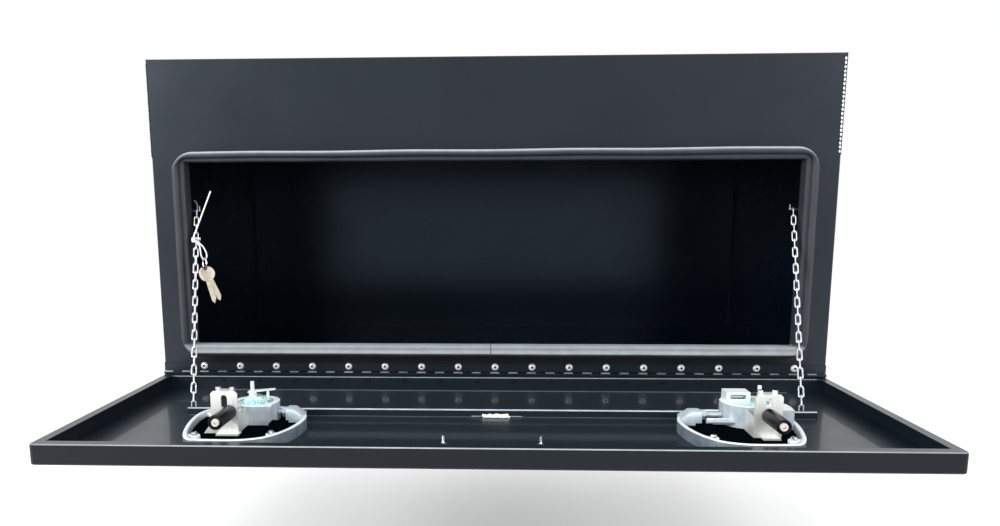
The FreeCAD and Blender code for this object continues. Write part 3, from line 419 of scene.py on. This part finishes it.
def skin(bm, rings, closed=False, caps=False, mats=None):
    """Quads between rings of equal length, given as lists of points; mats has a material for each gap."""
    made = [[bm.verts.new(p) for p in ring] for ring in rings]
    n = len(made[0])
    pairs = list(zip(made, made[1:])) + ([(made[-1], made[0])] if closed else [])
    mats = mats or [0] * len(pairs)
    for mat, (a, b) in zip(mats, pairs):
        for i in range(n):
            j = (i + 1) % n
            bm.faces.new((a[i], a[j], b[j], b[i])).material_index = mat
    if caps:
        bm.faces.new(made[0][::-1]).material_index = mats[0]
        bm.faces.new(made[-1]).material_index = mats[-1]


def tube(bm, path, radius, sides=10, closed=False):
    """Round tube along points in metres."""
    rings = []
    n = len(path)
    side = None
    for i, p in enumerate(path):
        before = path[i - 1] if i or closed else p
        after = path[(i + 1) % n] if i < n - 1 or closed else p
        along = (after - before).normalized()
        if side is None:
            side = along.orthogonal().normalized()
        side = (side - along * side.dot(along)).normalized()
        rings.append(circle(p, radius, side, along.cross(side), sides))
    skin(bm, rings, closed, not closed)


def lathe(bm, profile, base, axis, sides, mats):
    """Turned form: profile of (radius, height) in mm about an axis through a base point in metres."""
    axis = Vector(axis)
    u = axis.orthogonal().normalized()
    w = axis.cross(u)
    rings = [circle(base + axis * (h / 1000), r / 1000, u, w, sides) for r, h in profile]
    skin(bm, rings, mats=mats)


def slab(bm, outline, direction, mat=0):
    """Straight prism of an outline of points in metres."""
    skin(bm, [outline, [p + direction for p in outline]], caps=True, mats=[mat])


# Stay chains: welded links in mm, with the two links that join the halves drawn on the lower one
WIRE, LINK_W, LINKS = 2.4, 8.2, 23
UPPER, MIDDLE = 14, 2
PLAY, TWIST = 0.45, 5
STAYS = {"left": (Vector((-438.4, 2.8, 248)), Vector((-399.5, -148, -5))),
         "right": (Vector((438.4, 2.8, 248)), Vector((409, -148, -5)))}


def link_path(inner):
    """Middle line of one link along Z, round its two half-circle ends; inner is its clear length."""
    steps = 8
    r = (LINK_W - WIRE) / 2
    z = inner / 2 + WIRE / 2 - r
    points = []
    for sign in (1, -1):
        for k in range(steps + 1):
            t = math.radians(-90 + 180 * k / steps)
            points.append(Vector((sign * r * math.sin(t), 0, sign * (z + r * math.cos(t)))))
    return points


def stay(side):
    """One chain from its hook to its staple, each link a quarter turn from the last."""
    hook, staple = STAYS[side]
    run = staple - hook
    inner = (run.length + WIRE + (LINKS + 1) * PLAY) / LINKS
    first = inner / 2 - WIRE / 2 - PLAY
    along = run.normalized()
    aim = Vector((0, 0, 1)).rotation_difference(along)
    groups = {"upper": [], "lower": [], "middle": []}
    for i in range(LINKS):
        center = hook + along * (first + i * (inner - PLAY))
        angle = 90 * ((i + 1) % 2) + random.uniform(-TWIST, TWIST)
        turn = Matrix.Rotation(math.radians(angle), 3, "Z")
        key = "upper" if i < UPPER else ("middle" if i < UPPER + MIDDLE else "lower")
        groups[key].append([at(*(center + aim @ (turn @ p))) for p in link_path(inner)])
    for key, body, nodes in (("upper", "chain_upper_%s_run", ["chain_upper_" + side]),
                             ("middle", "chain_lower_%s_run", []),
                             ("lower", "chain_lower_%s_run", ["chain_lower_" + side])):
        bm = bmesh.new()
        for path in groups[key]:
            tube(bm, path, WIRE / 2000, closed=True)
        finish_piece("stay_%s_%s" % (key, side), bm, [ZINC], body % side, nodes)


for side in SIDES:
    stay(side)


# Hinge rivets: bright domes round a mandrel hole painted dark as shade
RIVETS, RIVET_PITCH = 17, 55.7
RIVET_X, LEAF_FACE_Y, RIVET_Z = -437.8, -1.2, 13.5


def rivets():
    bm = bmesh.new()
    hole = [(0.001, 1.6), (0.95, 1.6), (1.15, 2.95)]
    dome = [(1.8, 3.25), (3.4, 3.0), (4.5, 2.3), (5.2, 1.2), (5.5, 0.2), (5.5, 0.0)]
    shank = [(2.4, 0.0), (2.4, -2.8), (0.001, -2.8)]
    profile = hole + dome + shank
    mats = [1 if k < len(hole) else 0 for k in range(len(profile) - 1)]
    for i in range(RIVETS):
        lathe(bm, profile, at(RIVET_X + RIVET_PITCH * i, LEAF_FACE_Y, RIVET_Z), (0, -1, 0), 24, mats)
    finish_piece("rivet_heads", bm, [RIVET, HOLLOW_SHADE], "box", ("hinge_rivets_box",))


# Small wire: the arches on the stiffener that hold the stays, and the curved end on the left hook
STAPLE_R, TAIL_R = 0.72, 0.45


def staples():
    half, foot_z, shoulder_z, arc_z, arc_h = 2.9, -15.0, -8.0, -7.4, 2.4
    bend = [math.radians(t) for t in range(15, 180, 15)]
    arch = [(-half, foot_z), (-half, shoulder_z)]
    arch += [(-half * math.cos(t), arc_z + arc_h * math.sin(t)) for t in bend]
    arch += [(half, shoulder_z), (half, foot_z)]
    bm = bmesh.new()
    for _, staple in STAYS.values():
        tube(bm, [at(staple.x + dx, staple.y, z) for dx, z in arch], STAPLE_R / 1000)
    finish_piece("staple_arches", bm, [RIVET], "door", ("chain_staples",))


def wire_tail():
    bm = bmesh.new()
    route = [(-441.0, 2.0, 263.5), (-438.6, 1.2, 262.0), (-436.4, 0.4, 258.5),
             (-435.6, 0.2, 254.5), (-436.2, 0.8, 250.0), (-437.6, 1.8, 246.2)]
    tube(bm, [at(*point) for point in route], TAIL_R / 1000, 8)
    finish_piece("wire_tail_left", bm, [PALE_WIRE_AND_EDGE_HIGHLIGHT], "box")


rivets()
staples()
wire_tail()


# Weld ripples up the front corners of the upper panel, the right run drawn bright as a painted highlight on
# the black weld, and the stitch on the stiffener
SEAM_Z = 329.5
STITCH_X = 9.4


def ripples(name, places, along, size, body, nodes, material):
    """Overlapping flattened drops laid along a joint; size is their half-lengths in mm."""
    bm = bmesh.new()
    for p in places:
        shift = random.uniform(-0.2, 0.2)
        drop = bmesh.ops.create_uvsphere(bm, u_segments=14, v_segments=8, radius=1.0)["verts"]
        sx, sy, sz = (s * random.uniform(0.9, 1.1) / 1000 for s in size)
        for v in drop:
            v.co = p + Vector((v.co.x * sx, v.co.y * sy, v.co.z * sz)) + along * (shift / 1000)
    finish_piece(name, bm, [material], body, nodes, 80)


def welds():
    up, across = Vector((0, 0, 1)), Vector((1, 0, 0))
    # The right run takes the bright weld colour as painted highlight; the left run keeps the black coat
    right_run = [at(497.4, -0.1, SEAM_Z + 5.8 * k) for k in range(23)]
    ripples("corner_ripples_right_highlight", right_run, up, (1.5, 1.2, 2.4), "box", ("corner_welds",), BRIGHT_WELD_AND_HIGHLIGHT)
    left_run = [at(-499.6, 0.3, SEAM_Z + 4.55 * k) for k in range(29)]
    ripples("corner_ripples_left", left_run, up, (1.1, 1.0, 2.7), "box", ("corner_welds",), COAT)
    stitch = [at(STITCH_X - 17.5 + 2.9 * k, -157.9, -19.3 + random.uniform(-1.0, 0.9)) for k in range(12)]
    stitch += [at(STITCH_X - 16.5 + 3.3 * k, -160.2 - random.uniform(0, 1.0), -20.9) for k in range(11)]
    ripples("stiffener_stitch", stitch, across, (1.9, 1.9, 2.0), "door", ("stiffener_weld",), RIVET)


welds()


# Painted highlights on the door: thin bright bars along its front flange and the stiffener's edges
HAT_X0, HAT_X1 = -403, 425


def strip(name, runs, size, material):
    """Square bars along X, each given as (x0, x1, y, z) in mm."""
    bm = bmesh.new()
    h = size / 2
    for x0, x1, y, z in runs:
        slab(bm, [at(x0, y - h, z - h), at(x0, y + h, z - h), at(x0, y + h, z + h), at(x0, y - h, z + h)],
             Vector(((x1 - x0) / 1000, 0, 0)))
    finish_piece(name, bm, [material], "door")


strip("flange_edge_highlight", [(-496, 496, -3.5, -2.8)], 1.0, PALE_WIRE_AND_EDGE_HIGHLIGHT)
strip("stiffener_foot_highlight", [(HAT_X0, HAT_X1, -156.3, -22.0)], 0.6, DIM_EDGE_HIGHLIGHT)
strip("stiffener_back_highlight", [(HAT_X0, HAT_X1, -51.4, -12.0)], 1.4, DIM_EDGE_HIGHLIGHT)
strip("stitch_end_highlights", [(STITCH_X - 33, STITCH_X - 17, -156.6, -21.0),
                      (STITCH_X + 17, STITCH_X + 34, -156.6, -21.0)], 0.8, PALE_WIRE_AND_EDGE_HIGHLIGHT)


# Opening seal: edge trim with its hollow bulb on the outer side, butted at the bottom
SEAL_HALF_W, SEAL_Z0, SEAL_Z1 = 444.5, 49.0, 318.0
TRIM_W, TRIM_D = 10.0, 22.0
BULB_AT, BULB_Y, BULB_R = 12, -22.5, 5.5


def seal_profile():
    """Points as (offset from the inner edge, y): inner lip, bulb, and back along the outer lip."""
    profile = [(0.0, -0.4), (0.0, -19.6), (0.5, -21.2), (1.8, -TRIM_D), (4.4, -22.1), (6.4, -22.3)]
    for k in range(13):
        t = math.radians(178 - 21.5 * k)
        profile.append((BULB_AT + BULB_R * math.cos(t), BULB_Y - BULB_R * math.sin(t)))
    return profile + [(10.3, -16.6), (TRIM_W, -15.0), (TRIM_W, -0.4)]


def seal_ring(offset):
    """Rounded rectangle round the opening, as (x, z): eighths of each corner, then its straight run."""
    steps, long_run, short_run = 8, 46, 16
    r = max(0.6, 1.75 * offset)
    x, low, high = SEAL_HALF_W + offset - r, SEAL_Z0 - offset + r, SEAL_Z1 + offset - r
    corners = [(x, low, -90), (x, high, 0), (-x, high, 90), (-x, low, 180)]
    ring = []
    for k, (cx, cz, start) in enumerate(corners):
        for j in range(steps + 1):
            t = math.radians(start + 90 * j / steps)
            ring.append((cx + r * math.cos(t), cz + r * math.sin(t)))
        next_x, next_z, next_start = corners[(k + 1) % 4]
        ax, az = ring[-1]
        bx = next_x + r * math.cos(math.radians(next_start))
        bz = next_z + r * math.sin(math.radians(next_start))
        count = long_run if abs(bx - ax) > abs(bz - az) else short_run
        for j in range(1, count):
            f = j / count
            ring.append((ax + (bx - ax) * f, az + (bz - az) * f))
    return ring


def seal_point(x, z, offset, y):
    """One point of the seal, out of true as soft trim is: waves in depth and height, and a sag at the top."""
    wave = 0.7 + 0.35 * math.sin(x * 0.031 + 1.3) + 0.3 * math.sin(x * 0.083 + z * 0.06)
    wave += 0.25 * math.sin(z * 0.09)
    if offset > 6:
        sway = 0.4 * math.sin(x * 0.027 + z * 0.05 + 0.6)
    else:
        sway = 0.15 * math.sin(x * 0.05)
    if abs(z - SEAL_Z0) <= 30:
        sway *= 0.6
    sag = 3.0 * (0.5 - x / (2 * SEAL_HALF_W + 1)) * min(1.0, offset / 12) if z > SEAL_Z1 - 4 else 0.0
    return at(x, y + (wave if y < -12 else 0), z - sag + sway)


def seal():
    bm = bmesh.new()
    rings = [[seal_point(x, z, offset, y) for x, z in seal_ring(offset)] for offset, y in seal_profile()]
    skin(bm, rings, closed=True)
    finish_piece("seal_band", bm, [SEAL_RUBBER_PAINTED_LIGHT], "box", ("opening_seal",), 60)


seal()


# Lock castings: smooth ring with ears and boss, bolt face and ratchet wheel.
# Across (dx) and reach are measured from the lock's middle and from the hinge, in mm
RING_SHAPE = [(-46, 312), (-58, 290), (-68, 252), (-73, 215), (-71, 190), (-62, 175), (-40, 166),
              (0, 163.5), (32, 164), (50, 173), (64, 194), (70.5, 217), (69.5, 243), (63.5, 269),
              (52, 293), (38, 308), (16, 316), (-10, 317), (-32, 315.5)]
RING_MIDDLE = (0, -240)
FLOOR, TRAY_TOP, RIM = -22.4, -14.0, -7.5
EARS = ((-44, 290), (44.5, 282.5), (-59, 189.5))
EAR_R, EAR_H = 6.5, 4.5
LUG_REACH, LUG_W, LUG_H = 11, 9.0, 4.2
BOSS_H, BOSS_STEP = 25.5, 9
BOSS_MID, BOSS_END = 54, 65.0


def smooth_loop(points, steps):
    """Points on a closed curve through the given ones, with their normals."""
    n = len(points)
    loop = []
    for i in range(n):
        a, b, c, d = (Vector(points[(i + k) % n]) for k in (-1, 0, 1, 2))
        for j in range(steps):
            t = j / steps
            loop.append(0.5 * (2 * b + (c - a) * t + (2 * a - 5 * b + 4 * c - d) * t * t
                               + (3 * b - a - 3 * c + d) * t ** 3))
    out = []
    for i, q in enumerate(loop):
        along = (loop[(i + 1) % len(loop)] - loop[i - 1]).normalized()
        out.append((q, Vector((along.y, -along.x))))
    return out


def ring_wall(bm, spot):
    """The ring itself: material 0 inside, 2 on its outer wall (a darker copy, painted shade) and 1 on its rim
    (a paler copy, painted top light).
    """
    loop = smooth_loop([(dx, -reach) for dx, reach in RING_SHAPE], 4)
    rings = []
    for inset, z in ((0.0, FLOOR), (0.0, RIM - 1.0), (0.35, RIM - 0.3), (1.1, RIM), (3.9, RIM),
                     (4.7, RIM - 0.3), (5.0, RIM - 1.0), (5.0, FLOOR)):
        ring = []
        for q, n in loop:
            outward = n if n.dot(q - Vector(RING_MIDDLE)) > 0 else -n
            q = q - outward * inset
            ring.append(spot(q.x, -q.y, z))
        rings.append(ring)
    skin(bm, rings, closed=True)
    for k, face in enumerate(bm.faces):
        if face.calc_center_median().z > at(0, 0, RIM - 0.7).z:
            face.material_index = 1
        elif k < len(loop):
            face.material_index = 2


def ear(bm, spot, dx, reach):
    """Round screw boss with a lug that runs outward into the ring."""
    chamfer = 0.6
    lathe(bm, [(0.01, 0), (EAR_R, 0), (EAR_R, EAR_H - chamfer), (EAR_R - chamfer, EAR_H), (0.01, EAR_H)],
          spot(dx, reach, TRAY_TOP), (0, 0, 1), 20, [1] * 4)
    end = dx + math.copysign(LUG_REACH, dx)
    near, far = reach - LUG_W / 2, reach + LUG_W / 2
    slab(bm, [spot(dx, near, TRAY_TOP), spot(end, near, TRAY_TOP), spot(end, far, TRAY_TOP),
              spot(dx, far, TRAY_TOP)], Vector((0, 0, LUG_H / 1000)), 1)


def bolt_boss(bm, spot, start):
    """Block with rounded shoulders where the bolt leaves the ring, lower toward its outer end."""
    top = FLOOR + BOSS_H
    outline = [(192, TRAY_TOP), (192, top - 6), (193.4, top - 3), (196, top - 0.8), (199, top),
               (213, top), (216, top - 0.9), (218.2, top - 3), (219, top - 6), (219, TRAY_TOP)]
    low = [(reach, min(z, top - BOSS_STEP)) for reach, z in outline]
    skin(bm, [[spot(x, reach, z) for reach, z in points]
              for x, points in ((start, outline), (BOSS_MID, outline), (BOSS_END, low))], caps=True)


def casting(tag, lock_x, mirror, boss_start):
    """Fixing ring of a lock, mirrored or not."""
    def spot(dx, reach, z):
        return at(lock_x + mirror * dx, -reach, z)
    bm = bmesh.new()
    ring_wall(bm, spot)
    for dx, reach in EARS:
        ear(bm, spot, dx, reach)
    bolt_boss(bm, spot, boss_start)
    finish_piece("cast_ring_" + tag, bm, [CAST, CAST_PALE_AND_PAINTED_TOP_LIGHT, CAST_WALL_PAINTED_SHADE], "door",
                 ("lock_ring_" + tag,), 50)


def bolt_face(tag, x):
    """Pale ribbed end of the latch bolt inside the mouth of its sleeve, with painted shade on the inner wall
    of its first rib.
    """
    bm = bmesh.new()
    profile = [(0.01, 1.5), (1.0, 1.4), (1.3, 1.9), (2.2, 1.9), (2.6, 1.4), (3.6, 1.4), (3.9, 1.9),
               (4.35, 1.7), (4.5, 1.2), (4.5, 0.0)]
    lathe(bm, profile, at(x, -315.2, 12.4), (0, -1, 0), 28, [0, 1] + [0] * 7)
    finish_piece("bolt_face_" + tag, bm, [BEIGE, HOLLOW_SHADE], "bolt_" + tag)


def ratchet(tag, x, y, z, radius):
    """Toothed wheel with pale dots under the spindle."""
    teeth, tooth, height = 24, 1.5, 6.2
    dots, dot_inset = 9, 3.6
    bm = bmesh.new()
    low, high = [], []
    for k in range(teeth * 2):
        t = math.pi * k / teeth
        r = radius if k % 2 else radius - tooth
        low.append(at(x + r * math.cos(t), y + r * math.sin(t), z))
        high.append(at(x + (r - 1) * math.cos(t), y + (r - 1) * math.sin(t), z + height))
    skin(bm, [low, high], caps=True)
    for k in range(dots):
        t = 2 * math.pi * k / dots
        r = radius - dot_inset
        base = at(x + r * math.cos(t), y + r * math.sin(t), z + height - 0.2)
        lathe(bm, [(1.1, 0), (1.1, 0.8), (0.7, 1.3), (0.01, 1.4)], base, (0, 0, 1), 8, [1] * 3)
    finish_piece("ratchet_" + tag, bm, [CYAN, CAST_PALE_AND_PAINTED_TOP_LIGHT], "door")


casting("left", -300.0, 1, 45.0)
casting("right", 302.6, -1, 41.0)
bolt_face("left", -309.0)
bolt_face("right", 325.0)
ratchet("left", -297.0, -203.0, 7.4, 15.0)


# Studio, in metres

def area(name, place, target, size_x, size_y, power):
    data = bpy.data.lights.new(name, "AREA")
    data.energy = power
    data.shape = "RECTANGLE"
    data.size, data.size_y = size_x, size_y
    obj = bpy.data.objects.new(name, data)
    bpy.context.collection.objects.link(obj)
    aim = (Vector(target) - Vector(place)).to_track_quat("-Z", "Y")
    obj.matrix_world = Matrix.Translation(Vector(place)) @ aim.to_matrix().to_4x4()


def white_world():
    """White all round, a little weaker on matt surfaces than behind the object and in its reflections."""
    matt_level, seen_level = 0.95, 1.0
    world = bpy.data.worlds.new("world")
    bpy.context.scene.world = world
    world.use_nodes = True
    tree = world.node_tree
    back = tree.nodes["Background"]
    back.inputs["Color"].default_value = (1, 1, 1, 1)
    rays = tree.nodes.new("ShaderNodeLightPath")
    full = rays.outputs["Is Camera Ray"]
    for kind in ("Is Glossy Ray", "Is Transmission Ray"):
        either = tree.nodes.new("ShaderNodeMath")
        either.operation = "MAXIMUM"
        tree.links.new(full, either.inputs[0])
        tree.links.new(rays.outputs[kind], either.inputs[1])
        full = either.outputs[0]
    level = tree.nodes.new("ShaderNodeMapRange")
    level.inputs["To Min"].default_value = matt_level
    level.inputs["To Max"].default_value = seen_level
    tree.links.new(full, level.inputs["Value"])
    tree.links.new(level.outputs["Result"], back.inputs["Strength"])


def white_floor():
    """Pale matt floor that keeps the object's shadow."""
    half_size, height, glow = 14, -0.78, 0.16
    mesh = bpy.data.meshes.new("floor")
    bm = bmesh.new()
    bmesh.ops.create_grid(bm, x_segments=1, y_segments=1, size=half_size)
    bm.to_mesh(mesh)
    bm.free()
    floor = bpy.data.objects.new("floor", mesh)
    floor.location = (0, 0, height)
    bpy.context.collection.objects.link(floor)
    m = Nodes("floor")
    m.use("Base Color", (0.93, 0.93, 0.93))
    m.use("Roughness", 1.0)
    m.use("Specular IOR Level", 0.0)
    m.use("Emission Color", (1, 1, 1))
    m.use("Emission Strength", glow)
    mesh.materials.append(m.mat)


area("key", (-2.3, -2.2, 0.7), (0, -0.2, -0.45), 1.0, 0.8, power=56)
area("fill", (2.3, -2.3, 0.7), (0, -0.2, -0.45), 1.0, 0.8, power=24)
area("top", (0, -0.9, 1.9), (0, -0.55, -0.4), 3.0, 1.1, power=21)
white_world()
white_floor()
